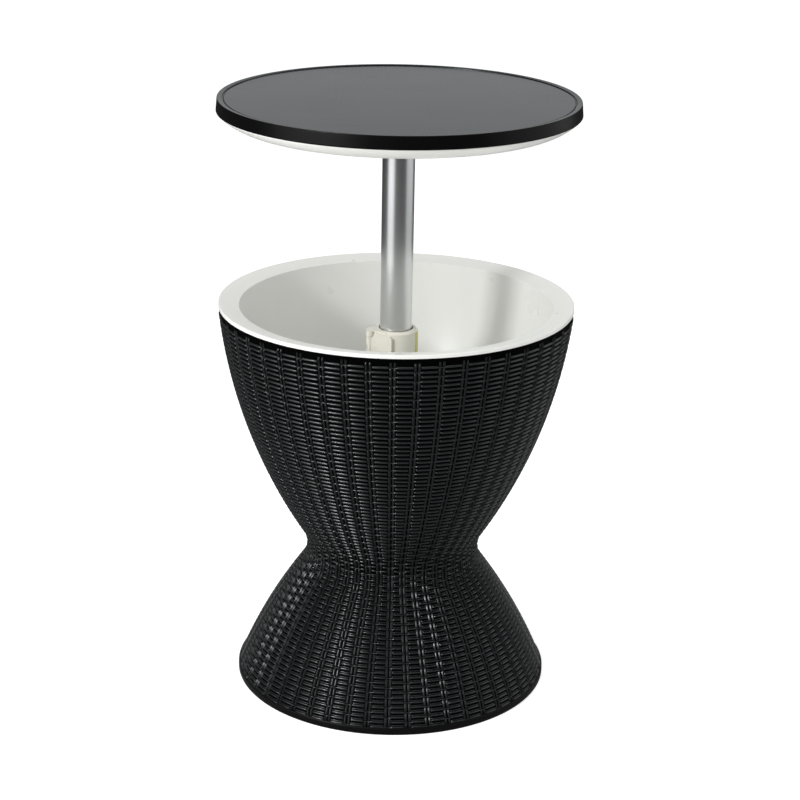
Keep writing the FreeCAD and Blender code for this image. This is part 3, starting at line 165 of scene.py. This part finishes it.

# %% [markdown]
# The black resin is the finish that shows most. It comes out of the mould satin, with faint lines along
# each strand, so the weavers get grain stretched level and the stakes get it stretched upright. In the
# photograph the strands of the lower shell look glossier than those of the upper one. Their reflections
# get a slight painted cool tint, and those of the board a stronger one. The board's dark teal colour is
# painted cool reflection too. The board has the fine leather grain of a moulded sheet, its lip is smoother
# and its side is a deeper black. The whites differ: the bowl is glossy and slightly green, the collar is
# duller and creamier. Every finish below gives a light and a dark colour, a roughness and a grain.

# %% The finishes
# these tints colour only the reflections: painted cool reflection, slight on the strands, stronger on the
# board
PAINTED_COOL_SHEEN = (0.94, 1.0, 1.0, 1)
PAINTED_COOLER_SHEEN = (0.8, 0.93, 1.0, 1)
WEAVER_COLOURS = ((0.007, 0.0077, 0.0085), (0.0045, 0.005, 0.0056))
STAKE_COLOURS = ((0.005, 0.0052, 0.0058), (0.003, 0.003, 0.0035))
LEVEL = {"stretch": (0.12, 0.12, 1), "depth": 0.2, "gloss_drift": 0.05, "tint": PAINTED_COOL_SHEEN}
UPRIGHT = {"stretch": (1, 1, 0.12), "depth": 0.12, "gloss_drift": 0.04, "tint": PAINTED_COOL_SHEEN}
FINISHES = {
    "weaver": make_finish("black_weaver_resin", *WEAVER_COLOURS, 0.31, 0.0012, specular=0.9, **LEVEL),
    "bell_weaver": make_finish("black_bell_weaver_resin", *WEAVER_COLOURS, 0.23, 0.0012,
                               specular=0.95, **LEVEL),
    "stake": make_finish("black_stake_resin", *STAKE_COLOURS, 0.37, 0.0012, specular=0.4, **UPRIGHT),
    "bell_stake": make_finish("black_bell_stake_resin", *STAKE_COLOURS, 0.3, 0.0012, specular=0.5, **UPRIGHT),
    # nearly pure black and barely glossy: painted shade for the deep gaps between the strands, where little
    # light gets in
    "black_rattan": make_finish("shell_resin_painted_gap_shade", (0.001, 0.001, 0.0011), (0.0005, 0.0005, 0.0006),
                                0.5, 0.001, specular=0.02),
    # the board's dark teal colour is painted cool reflection; its lip takes a darker, less blue copy of it
    "black_top": make_finish("black_table_board_painted_cool_sheen", (0.003, 0.008, 0.0115), (0.002, 0.0055, 0.009),
                             0.27, 0.0009, depth=0.07, gloss_drift=0.02, tint=PAINTED_COOLER_SHEEN),
    "board_lip": make_finish("black_board_lip", (0.002, 0.004, 0.0055), (0.0015, 0.003, 0.004),
                             0.26, 0.0009, depth=0.05, gloss_drift=0.02, specular=0.4, tint=PAINTED_COOLER_SHEEN),
    "board_side": make_finish("black_board_side", (0.0025, 0.0025, 0.0028), (0.0015, 0.0015, 0.0018),
                              0.31, 0.0012, depth=0.3, gloss_drift=0.05, specular=0.14),
    "foot_band": make_finish("black_foot_band", (0.003, 0.003, 0.0033), (0.002, 0.002, 0.0022),
                             0.4, 0.001, specular=0.15),
    "black_plastic": make_finish("black_plate_plastic", (0.03, 0.03, 0.032), (0.02, 0.02, 0.021),
                                 0.55, 0.001),
    "white_plastic": make_finish("white_bowl_plastic", (0.80, 0.805, 0.775), (0.79, 0.795, 0.765),
                                 0.28, 0.0008, depth=0.03, gloss_drift=0.02),
    "ivory_plastic": make_finish("ivory_collar_plastic", (0.80, 0.79, 0.71), (0.72, 0.70, 0.61),
                                 0.42, 0.0007, depth=0.15),
    "grey_plastic": make_finish("grey_glide_plastic", (0.42, 0.43, 0.44), (0.34, 0.35, 0.36), 0.5, 0.0008),
    "yellow_plastic": make_finish("yellow_strip_plastic", (0.62, 0.60, 0.12), (0.5, 0.48, 0.08),
                                  0.45, 0.0008),
    "aluminium": make_finish("satin_pole_metal", (0.80, 0.81, 0.82), (0.72, 0.73, 0.74),
                             0.3, 0.0006, stretch=(1, 1, 0.02), depth=0.12, metallic=1.0, gloss_drift=0.04),
    "steel": make_finish("zinc_plated_steel", (0.62, 0.62, 0.63), (0.5, 0.5, 0.52),
                         0.34, 0.0005, metallic=1.0),
    "brass": make_finish("turned_brass", (0.78, 0.6, 0.28), (0.66, 0.5, 0.22), 0.3, 0.0005, metallic=1.0),
    "rubber": make_finish("soft_black_rubber", (0.03, 0.03, 0.03), (0.018, 0.018, 0.018),
                          0.7, 0.0008, depth=0.3),
}
print(len(FINISHES), "finishes")

# %% [markdown]
# The record names a material slot for every piece of the engineering model. Each of them takes its finish
# here, also the screws and seals inside that show only when the table is taken apart.

# %% Dress the engineering pieces
SLOT_OF = {row["node"]: row["material_slot"] for row in frame["record"]["subparts"]}
for node, piece in frame["nodes"].items():
    finish = FINISHES[SLOT_OF[node]]
    piece.data.materials.clear()
    piece.data.materials.append(finish)
print("dressed", len(frame["nodes"]), "pieces")

# %% [markdown]
# ## The curve of the shells
# Seen from the side each shell is one long bend, and the two meet in a short tight one at the waist. An
# arc through three points describes each, as in the engineering model, so the weave lies close on its
# surface. The arcs are cut into short steps whose length along the curve is known. From a distance along
# it, `skin` then gives a radius, a height and the way that points straight out.

# %% The side view of the shells
BELL_FOOT = (FOOT_RADIUS - 2.7 * MM, 10 * MM)
BELL_MIDDLE = (179.2 * MM, 90 * MM)
BOWL_MIDDLE = (200.5 * MM, 365 * MM)
WAIST_RADIUS = 121 * MM
WAIST_BEND = 54.3 * MM
WAIST_HALF = 25 * MM
ARC_STEPS = 60


def arc(start, middle, end, steps=ARC_STEPS):
    """Points on the circle through three points, from the first to the last."""
    (ax, ay), (bx, by), (cx, cy) = start, middle, end
    across = 2 * (ax * (by - cy) + bx * (cy - ay) + cx * (ay - by))
    squares = [x * x + y * y for x, y in (start, middle, end)]
    ux = (squares[0] * (by - cy) + squares[1] * (cy - ay) + squares[2] * (ay - by)) / across
    uy = (squares[0] * (cx - bx) + squares[1] * (ax - cx) + squares[2] * (bx - ax)) / across
    radius = hypot(ax - ux, ay - uy)
    first, last = atan2(ay - uy, ax - ux), atan2(cy - uy, cx - ux)
    turn = (last - first + pi) % (2 * pi) - pi
    return [(ux + radius * cos(first + turn * k / steps), uy + radius * sin(first + turn * k / steps))
            for k in range(steps + 1)]


flare = WAIST_RADIUS + WAIST_BEND - sqrt(WAIST_BEND ** 2 - WAIST_HALF ** 2)
side_view = (arc(BELL_FOOT, BELL_MIDDLE, (flare, WAIST_HEIGHT - WAIST_HALF))
             + arc((flare, WAIST_HEIGHT - WAIST_HALF), (WAIST_RADIUS, WAIST_HEIGHT),
                   (flare, WAIST_HEIGHT + WAIST_HALF))[1:]
             + arc((flare, WAIST_HEIGHT + WAIST_HALF), BOWL_MIDDLE, (SHELL_TOP_RADIUS, SHELL_TOP))[1:])
along = [0.0]
for (r0, z0), (r1, z1) in zip(side_view, side_view[1:]):
    along.append(along[-1] + hypot(r1 - r0, z1 - z0))
SKIN_LENGTH = along[-1]
print(f"{SKIN_LENGTH / MM:.1f} mm of shell from foot band to rim")


# %% Find a place on the skin
def skin(distance):
    """Radius, height and outward direction at a distance along the side view."""
    k = min(max(bisect_right(along, distance), 1), len(along) - 1)
    (r0, z0), (r1, z1) = side_view[k - 1], side_view[k]
    step = along[k] - along[k - 1]
    share = (distance - along[k - 1]) / step
    return r0 + (r1 - r0) * share, z0 + (z1 - z0) * share, (z1 - z0) / step, -(r1 - r0) / step


waist_at = min(range(len(side_view)), key=lambda k: abs(side_view[k][1] - WAIST_HEIGHT))
WAIST_DISTANCE = along[waist_at]
print(f"the waist lies {WAIST_DISTANCE / MM:.1f} mm along the skin")

# %% [markdown]
# ## The weave
# The shells copy a wicker basket. Pairs of upright stakes stand every 7.5 degrees, and level weavers pass
# over one pair and under the next, with the row below doing the opposite. A texture would stay flat at the
# edge of the table, where the real strands notch the outline, so the strands are real geometry: each is a
# closed tube whose flat back lies just under the surface of the shell. On the goblet a weaver is one round
# ridge with a deep gap below it. On the bell a second, thinner ridge lies just above each of them.

# %% Measures of the weave
# how many strands there are, how far apart they are and where the first of them lie
PAIRS = 48
PAIR_ANGLE = 2 * pi / PAIRS
PAIR_START = -radians(0.72)
PAIR_SPACING = 5.3 * MM
GOBLET_ROWS = 57
GOBLET_PITCH = 6.608 * MM
GOBLET_TOP_ROW = SKIN_LENGTH - 12.9 * MM
BELL_ROWS = 31
BELL_PITCH = 6.70 * MM
BELL_TOP_ROW = WAIST_DISTANCE - 9.4 * MM
# sections across a strand: place across it and height above the skin, in mm
RIDGE = [(-1.75, -0.4), (-1.6, 0.8), (-1.0, 1.85), (0.0, 2.25), (1.0, 1.85), (1.6, 0.8), (1.75, -0.4)]
BELL_RIDGE = [(-1.5, -0.4), (-1.4, 0.9), (-0.8, 2.1), (0.2, 2.3), (1.0, 1.7), (1.4, 0.8), (1.55, -0.4)]
THIN_RIDGE = [(1.5, -0.4), (1.8, 1.0), (2.3, 1.6), (2.9, 1.3), (3.2, -0.4)]
STAKE_SECTION = [(-1.65, -0.4), (-1.6, 1.0), (-0.3, 2.05), (0.3, 2.05), (1.6, 1.0), (1.65, -0.4)]
STAKE_EDGE = radians(25)
HEM_RIDGE = [(-0.7, -0.4), (-0.45, 0.9), (0.45, 0.9), (0.7, -0.4)]
SEAM = WAIST_DISTANCE - 4.8 * MM
print(GOBLET_ROWS + BELL_ROWS, "rows of weavers over", PAIRS, "pairs of stakes")


# %% From the skin to a point in space
def on_skin(distance, angle, sideways, height):
    """A point at an angle round the table, moved sideways along the skin and out of it."""
    radius, level, out_r, out_z = skin(distance)
    angle += sideways / radius
    reach = radius + out_r * height
    return (reach * sin(angle), -reach * cos(angle), level + out_z * height)


def make_piece(name, points, faces, finish, body="cooler"):
    """A smooth-shaded mesh that rides on a body."""
    mesh = bpy.data.meshes.new(name)
    mesh.from_pydata(points, [], faces)
    mesh.shade_smooth()
    mesh.materials.append(FINISHES[finish])
    piece = bpy.data.objects.new(name, mesh)
    bpy.context.scene.collection.objects.link(piece)
    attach(piece, body)
    print(f"{name}: {len(points)} points, {len(faces)} faces")
    return piece


# %% Faces along a tube
def tube_faces(first, rings, size, closed):
    """Four-sided faces between rings of the same size, and an end face on each end of an open tube."""
    faces = []
    for ring in range(rings if closed else rings - 1):
        here, there = first + ring * size, first + (ring + 1) % rings * size
        for k in range(size):
            after = (k + 1) % size
            faces.append((here + k, here + after, there + after, there + k))
    if not closed:
        last = first + (rings - 1) * size
        faces += [tuple(range(first + size - 1, first - 1, -1)), tuple(range(last, last + size))]
    return faces


print("an open tube of 3 rings of 7 points has", len(tube_faces(0, 3, 7, closed=False)), "faces")

# %% [markdown]
# A weaver is a ring of cross-sections. Near each pair of stakes the sections stand closer together, because
# there the strand either dives under the pair or thins out and passes over it. Each stop says how far it is
# from the middle of the pair, and for both cases how much of the strand's width and height is left. The
# thin ridge always dives, and so does one more low ring just above the seam, the hem of the goblet.

# %% Weavers
# distance from the pair in mm, width and height where it goes over, width and height where it goes under
CROSS_STOPS = [(-6.4, 1.0, 1.0, 1.0, 1.0), (-5.5, 0.9, 0.95, 0.9, 0.85), (-4.7, 0.55, 0.65, 0.6, None),
               (0.0, 0.5, 0.6, 0.6, None), (4.7, 0.55, 0.65, 0.6, None), (5.5, 0.9, 0.95, 0.9, 0.85),
               (6.4, 1.0, 1.0, 1.0, 1.0)]
CROSSING_DROP = 0.5 * MM
NARROW = 0.8
SUNK = -0.6
SUNK_RELIEF = 0.1
HEM_RISE = 0.9 * MM


def strand_shape(section, width, height):
    """A section made narrower about its middle and lower, or sunk where no height is left."""
    middle = (section[0][0] + section[-1][0]) / 2
    shape = []
    for across, rise in section:
        if height is None:
            rise = SUNK + SUNK_RELIEF * rise
        elif rise > 0:
            rise *= height
        shape.append((middle + (across - middle) * width, rise))
    return shape


def weaver_points(section, distance, row):
    """All the cross-sections of one weaver, round the table."""
    points = []
    for pair in range(PAIRS):
        over = (row + pair) % 2 == 0 and section in (RIDGE, BELL_RIDGE)
        angle = PAIR_START + pair * PAIR_ANGLE
        stops = [(angle, stop[0] * MM, *(stop[1:3] if over else stop[3:5])) for stop in CROSS_STOPS]
        stops.append((angle + PAIR_ANGLE / 2, 0.0, 1.0, 1.0))
        for angle_at, sideways, width, height in stops:
            drop = CROSSING_DROP if over and width < NARROW else 0
            for across, rise in strand_shape(section, width, height):
                points.append(on_skin(distance + across * MM - drop, angle_at, sideways, rise * MM))
    return points


def make_weavers(name, finish, sections, top_row, pitch, rows, hem=None):
    """A band of weavers as one piece, with a hem below it where a place for one is given."""
    strands = [(section, top_row - row * pitch, row) for row in rows for section in sections]
    if hem is not None:
        strands.append((HEM_RIDGE, hem, rows.stop))
    points, faces = [], []
    rings = PAIRS * (len(CROSS_STOPS) + 1)
    for section, distance, row in strands:
        faces += tube_faces(len(points), rings, len(section), closed=True)
        points += weaver_points(section, distance, row)
    make_piece(name, points, faces, finish)


goblet = ("weaver", [RIDGE], GOBLET_TOP_ROW, GOBLET_PITCH)
half_way = GOBLET_ROWS // 2
make_weavers("goblet_weavers_upper", *goblet, range(half_way))
make_weavers("goblet_weavers_lower", *goblet, range(half_way, GOBLET_ROWS), hem=SEAM + HEM_RISE)
bell = ("bell_weaver", [BELL_RIDGE, THIN_RIDGE], BELL_TOP_ROW, BELL_PITCH)
half_way = BELL_ROWS // 2
make_weavers("bell_weavers_upper", *bell, range(half_way))
make_weavers("bell_weavers_lower", *bell, range(half_way, BELL_ROWS))

# %% [markdown]
# A stake runs up the shell and dips under each weaver that crosses it, so between two crossings it shows as
# a straight bar. Five stops make a crossing: low and narrow in its middle, a shoulder on each side and full
# strength beyond. Its two sides slant, and sharp edges keep them apart from its narrow back, because in the
# photograph each side catches the light on its own. The two shells have their own stakes, with a seam at
# the waist.

# %% Stakes
STAKE_CLEAR = 1.7 * MM
STAKE_ROUND = 0.9 * MM
STAKE_DIP = (0.75, 0.15)
STAKE_SHOULDER = (0.9, 0.75)
STAKE_FULL = (1.0, 1.0)
ROWS_BEYOND = 2
SEAM_HALF = 0.2 * MM
FOOT_MARGIN = 0.3 * MM
RIM_MARGIN = 5.5 * MM


def stake_stops(crossings, low, high):
    """Distances along the skin, with the shares of the stake's width and height that are left there."""
    stops = []
    for crossing in crossings:
        for aside, shares in ((-STAKE_CLEAR - STAKE_ROUND, STAKE_FULL), (-STAKE_CLEAR, STAKE_SHOULDER),
                              (0, STAKE_DIP), (STAKE_CLEAR, STAKE_SHOULDER),
                              (STAKE_CLEAR + STAKE_ROUND, STAKE_FULL)):
            stops.append((crossing + aside, *shares))
    inner = [stop for stop in stops if low < stop[0] < high]
    return [(low, *STAKE_SHOULDER)] + inner + [(high, *STAKE_SHOULDER)]


def make_stakes(name, finish, top_row, pitch, rows, low, high):
    """All the stakes of one shell, from a low to a high place along the skin."""
    points, faces = [], []
    for pair in range(PAIRS):
        crossings = [top_row - row * pitch - CROSSING_DROP
                     for row in reversed(range(-ROWS_BEYOND, rows + ROWS_BEYOND)) if (row + pair) % 2 == 0]
        stops = stake_stops(crossings, low, high)
        angle = PAIR_START + pair * PAIR_ANGLE
        for side in (-0.5, 0.5):
            faces += tube_faces(len(points), len(stops), len(STAKE_SECTION), closed=False)
            for distance, width, height in stops:
                for across, rise in STAKE_SECTION:
                    sideways = side * PAIR_SPACING + across * width * MM
                    rise *= height if rise > 0 else 1
                    points.append(on_skin(distance, angle, sideways, rise * MM))
    make_piece(name, points, faces, finish).data.set_sharp_from_angle(angle=STAKE_EDGE)


make_stakes("bell_stakes", "bell_stake", BELL_TOP_ROW, BELL_PITCH, BELL_ROWS,
            FOOT_MARGIN, SEAM - SEAM_HALF)
make_stakes("goblet_stakes", "stake", GOBLET_TOP_ROW, GOBLET_PITCH, GOBLET_ROWS,
            SEAM + SEAM_HALF, SKIN_LENGTH - RIM_MARGIN)

# %% [markdown]
# The weave stops short of the floor at a smooth foot band with soft corners. The band is round, so its
# section is placed all round the pole, like a hoop. Each point is a radius past the foot of the engineering
# model and a height above the floor, in mm.

# %% Foot band
FOOT_SECTION = [(-2.4, 9.8), (-0.6, 10.7), (0.4, 10.6), (1.0, 10.0), (1.4, 8.8), (1.5, 1.3), (0.8, 0.4),
                (-2.4, 0.4)]
TURNS = 256
SHARP = radians(40)


def turned(name, rows, finish, body="cooler"):
    """A ring whose section is the given rows of radius and height, turned about the pole."""
    angles = [2 * pi * k / TURNS for k in range(TURNS)]
    points = [(radius * sin(angle), -radius * cos(angle), level)
              for angle in angles for radius, level in rows]
    piece = make_piece(name, points, tube_faces(0, TURNS, len(rows), closed=True), finish, body)
    piece.data.set_sharp_from_angle(angle=SHARP)
    return piece


foot_rows = [(FOOT_RADIUS + out * MM, up * MM) for out, up in FOOT_SECTION]
turned("foot_band", foot_rows, "foot_band")

# %% [markdown]
# ## The table board
# The top is a moulded tray. A narrow lip runs round it, tilted a little inwards so that drops stay on the
# board, and a fine groove parts the lip from the flat. Its side wall widens slightly to its foot and has
# soft corners that catch the light. All of it is round, so one side view, turned about the pole, makes it,
# and the finished board takes the place of the plain one. Each row is a distance in from the edge of the
# engineering model and a height against its top, in mm. Lip and side take finishes of their own.

# %% Table board
BOARD_FACE = [(13.5, -1.5), (12.6, -1.55), (12.1, -2.5), (11.2, -2.9), (10.3, -2.6), (9.7, -0.9),
              (9.1, -0.58), (4.0, -0.08), (3.5, 0.0)]
BOARD_SIDE = [(3.1, -0.12), (2.8, -0.5), (2.7, -1.2), (2.15, -8.0), (1.5, -15.5), (1.35, -17.0), (1.7, -17.7),
              (2.4, -17.9), (3.2, -17.9), (3.2, -5.5)]
# the section begins and ends on a tiny ring round the axis
BOARD_HUB = 0.05 * MM
# which rows belong to the lip and to the side, and which finish of the board each of them takes
LIP_BEGINS = 1
SIDE_BEGINS = len(BOARD_FACE) - 1
SIDE_ENDS = len(BOARD_FACE) + len(BOARD_SIDE) - 1
LIP_FINISH, SIDE_FINISH = 1, 2


def make_board():
    rows = [(TABLE_RADIUS - inset * MM, TABLE_TOP + drop * MM) for inset, drop in BOARD_FACE + BOARD_SIDE]
    rows = [(BOARD_HUB, rows[0][1])] + rows + [(BOARD_HUB, rows[-1][1])]
    board = turned("table_board", rows, "black_top", "table")
    board.data.materials.append(FINISHES["board_lip"])
    board.data.materials.append(FINISHES["board_side"])
    for face in board.data.polygons:
        row = min(vertex % len(rows) for vertex in face.vertices) - 1
        if LIP_BEGINS <= row < SIDE_ENDS:
            face.material_index = LIP_FINISH if row < SIDE_BEGINS else SIDE_FINISH
    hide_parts("table_top")


make_board()

# %% [markdown]
# ## Light and ground
# The highlights in the photograph speak of a broad soft source at the left, a small hard one beside it that
# throws the pole's shadow into the bowl, a white wall at the right and a soft source overhead. Soft boxes
# stand in for them. Each is a lamp with a size, turned to the table, and its power follows from its area,
# so its brightness is set directly.

# %% Soft boxes
AIM = Vector((0, 0, 0.5))


def soft_box(name, azimuth, distance, height, width, tall, brightness):
    """A rectangular lamp at an azimuth from the front, positive to the right, that faces the table."""
    lamp = bpy.data.lights.new(name, "AREA")
    lamp.shape = "RECTANGLE"
    lamp.size = width
    lamp.size_y = tall
    lamp.energy = pi * width * tall * brightness
    holder = bpy.data.objects.new(name, lamp)
    turn = radians(azimuth)
    holder.location = (distance * sin(turn), -distance * cos(turn), height)
    holder.rotation_mode = "QUATERNION"
    holder.rotation_quaternion = (holder.location - AIM).to_track_quat("Z", "Y")
    holder.visible_camera = False
    bpy.context.scene.collection.objects.link(holder)


soft_box("left_box", -51, 1.7, 1.0, 1.65, 1.9, 1.32)
soft_box("key_lamp", -46, 5.0, 2.479, 0.833, 0.833, 56.0)
soft_box("right_wall", 92, 1.7, 1.0, 2.5, 1.9, 0.66)
soft_box("top_box", 0, 0.1, 2.7, 1.6, 1.6, 2.0)
print("four lamps")

# %% [markdown]
# The world is white where the camera looks straight at it. Gloss sees a backdrop with soft edges behind
# the table and a dark room around it, so the board mirrors a grey sheen while the skin stays black. The
# ground is pale, adds a little light of its own for the camera so that it meets the white behind it, and
# keeps the shadow. Gloss sees it darker, and darker still further out, where a studio floor would end.

# %% What gloss sees of the world
ROOM = 0.12
# the backdrop that gloss sees: along each direction, where it begins to fade and where it has faded
BACKDROP = [("Y", 0.4, -0.3), ("X", 0.2, 0.42), ("X", -0.2, -0.42), ("Z", 0.42, 0.62)]
# the backdrop is brighter higher up: from this rise to that, from this strength to that
GLOW = (0.3, 0.39, 0.58, 0.9)


def soft_step(tree, value, begin, end, low=0.0, high=1.0):
    """A node that goes smoothly from low to high while a value goes from begin to end."""
    step = tree.nodes.new("ShaderNodeMapRange")
    step.interpolation_type = "SMOOTHSTEP"
    for socket, number in zip(("From Min", "From Max", "To Min", "To Max"), (begin, end, low, high)):
        step.inputs[socket].default_value = number
    tree.links.new(value, step.inputs["Value"])
    return step.outputs["Result"]


def gloss_view(tree):
    """What gloss sees of the world: the room, and the backdrop where all its fades are full."""
    place = tree.nodes.new("ShaderNodeTexCoord")
    split = tree.nodes.new("ShaderNodeSeparateXYZ")
    tree.links.new(place.outputs["Generated"], split.inputs["Vector"])
    backdrop = None
    for axis, full, faded in BACKDROP:
        fade = soft_step(tree, split.outputs[axis], faded, full)
        if backdrop:
            both = tree.nodes.new("ShaderNodeMath")
            both.operation = "MULTIPLY"
            tree.links.new(backdrop, both.inputs[0])
            tree.links.new(fade, both.inputs[1])
            fade = both.outputs["Value"]
        backdrop = fade
    around = tree.nodes.new("ShaderNodeMapRange")
    around.inputs["To Min"].default_value = ROOM
    tree.links.new(soft_step(tree, split.outputs["Z"], *GLOW), around.inputs["To Max"])
    tree.links.new(backdrop, around.inputs["Value"])
    return around.outputs["Result"]


print("the backdrop fades in", len(BACKDROP), "directions")

# %% World
AMBIENT = 0.61


def paint_world():
    world = bpy.data.worlds.new("studio")
    bpy.context.scene.world = world
    world.use_nodes = True
    nodes, links = world.node_tree.nodes, world.node_tree.links
    light = nodes["Background"]
    path = nodes.new("ShaderNodeLightPath")
    seen = nodes.new("ShaderNodeMix")
    seen.inputs["A"].default_value = AMBIENT
    links.new(path.outputs["Is Glossy Ray"], seen.inputs["Factor"])
    links.new(gloss_view(world.node_tree), seen.inputs["B"])
    straight = nodes.new("ShaderNodeMath")
    straight.operation = "MAXIMUM"
    links.new(path.outputs["Is Camera Ray"], straight.inputs[0])
    links.new(path.outputs["Is Transmission Ray"], straight.inputs[1])
    final = nodes.new("ShaderNodeMix")
    final.inputs["B"].default_value = 1
    links.new(straight.outputs["Value"], final.inputs["Factor"])
    links.new(seen.outputs["Result"], final.inputs["A"])
    links.new(final.outputs["Result"], light.inputs["Strength"])
    light.inputs["Color"].default_value = (1, 1, 1, 1)


paint_world()
print("world ready")

# %% Ground
GROUND_SIZE = 30
GROUND_COLOUR = (0.8, 0.8, 0.79, 1)
CAMERA_LIFT = 0.55
NEAR_GLOSS = (0.3, 0.3, 0.3, 1)
FAR_GLOSS = (0.07, 0.07, 0.07, 1)
NEAR_REACH = 1.2
FAR_REACH = 1.6


def lay_ground():
    mesh = bpy.data.meshes.new("ground")
    half = GROUND_SIZE / 2
    corners = [(-half, -half, 0), (half, -half, 0), (half, half, 0), (-half, half, 0)]
    mesh.from_pydata(corners, [], [(0, 1, 2, 3)])
    ground = bpy.data.objects.new("ground", mesh)
    bpy.context.scene.collection.objects.link(ground)
    finish = bpy.data.materials.new("pale_ground")
    finish.use_nodes = True
    nodes, links = finish.node_tree.nodes, finish.node_tree.links
    shader = nodes["Principled BSDF"]
    shader.inputs["Roughness"].default_value = 1
    shader.inputs["Specular IOR Level"].default_value = 0
    shader.inputs["Emission Color"].default_value = (1, 1, 1, 1)
    path = nodes.new("ShaderNodeLightPath")
    place = nodes.new("ShaderNodeTexCoord")
    reach = nodes.new("ShaderNodeVectorMath")
    reach.operation = "LENGTH"
    links.new(place.outputs["Object"], reach.inputs[0])
    far = soft_step(finish.node_tree, reach.outputs["Value"], NEAR_REACH, FAR_REACH)
    gloss = nodes.new("ShaderNodeMix")
    gloss.data_type = "RGBA"
    gloss.inputs["A"].default_value = NEAR_GLOSS
    gloss.inputs["B"].default_value = FAR_GLOSS
    links.new(far, gloss.inputs["Factor"])
    colour = nodes.new("ShaderNodeMix")
    colour.data_type = "RGBA"
    colour.inputs["A"].default_value = GROUND_COLOUR
    links.new(gloss.outputs["Result"], colour.inputs["B"])
    links.new(path.outputs["Is Glossy Ray"], colour.inputs["Factor"])
    links.new(colour.outputs["Result"], shader.inputs["Base Color"])
    lift = nodes.new("ShaderNodeMath")
    lift.operation = "MULTIPLY"
    lift.inputs[1].default_value = CAMERA_LIFT
    links.new(path.outputs["Is Camera Ray"], lift.inputs[0])
    links.new(lift.outputs["Value"], shader.inputs["Emission Strength"])
    mesh.materials.append(finish)


lay_ground()
print("ground ready")
